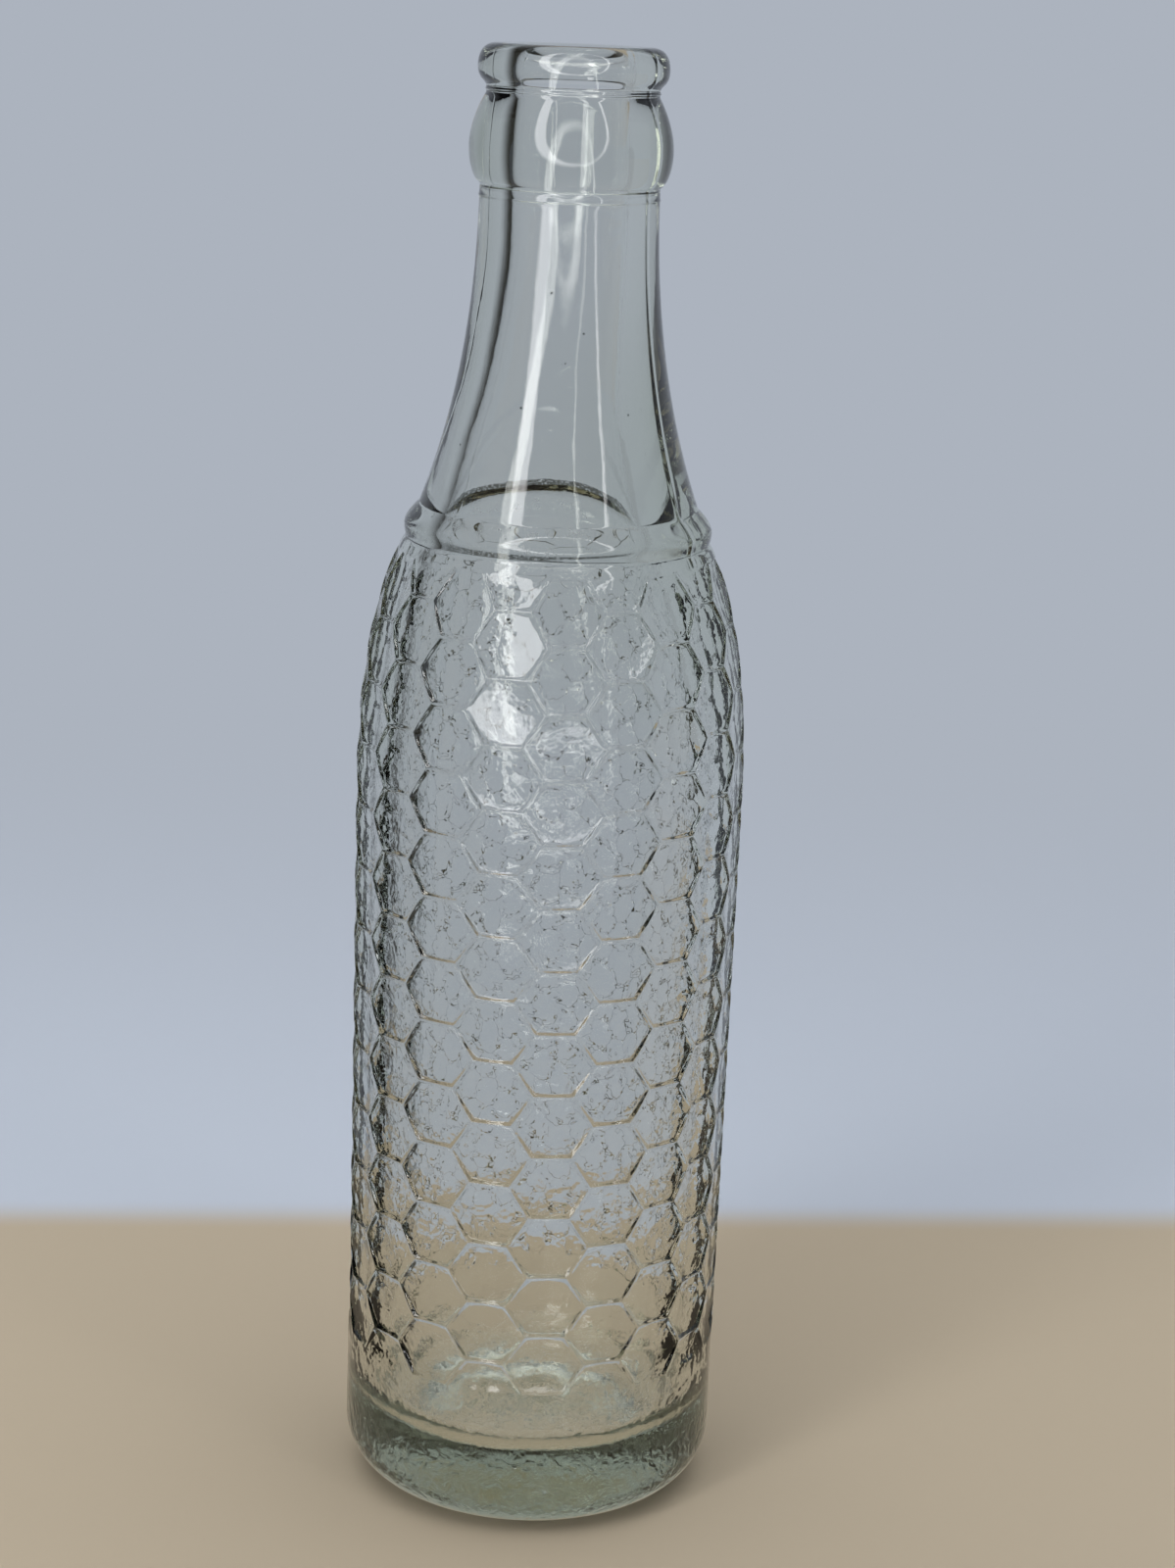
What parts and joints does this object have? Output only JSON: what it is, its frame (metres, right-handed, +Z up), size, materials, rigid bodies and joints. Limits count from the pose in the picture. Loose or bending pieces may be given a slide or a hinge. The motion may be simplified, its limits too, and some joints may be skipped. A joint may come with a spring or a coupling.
{
  "type": "soda bottle",
  "caption": "Clear glass soda bottle with a crown lip, a swept neck, a rounded shoulder ring and a body pressed all over with dished hexagons, for holding and pouring a drink.",
  "frame": {"origin": "on the bottle's axis, at the plane of the bearing ring that it stands on", "axes": "+Z up along the bottle's axis towards the mouth; the pictured side faces -Y"},
  "size_m": [0.0564, 0.0564, 0.212],
  "materials": {
    "glass": "polished clear soda-lime glass with a faint green-grey tint"
  },
  "bodies": {
    "root": {"heel_base": "glass", "honeycomb_wall": "glass", "shoulder_ring": "glass", "neck": "glass", "finish_collar": "glass", "crown_lip": "glass"}
  },
  "joints": []
}
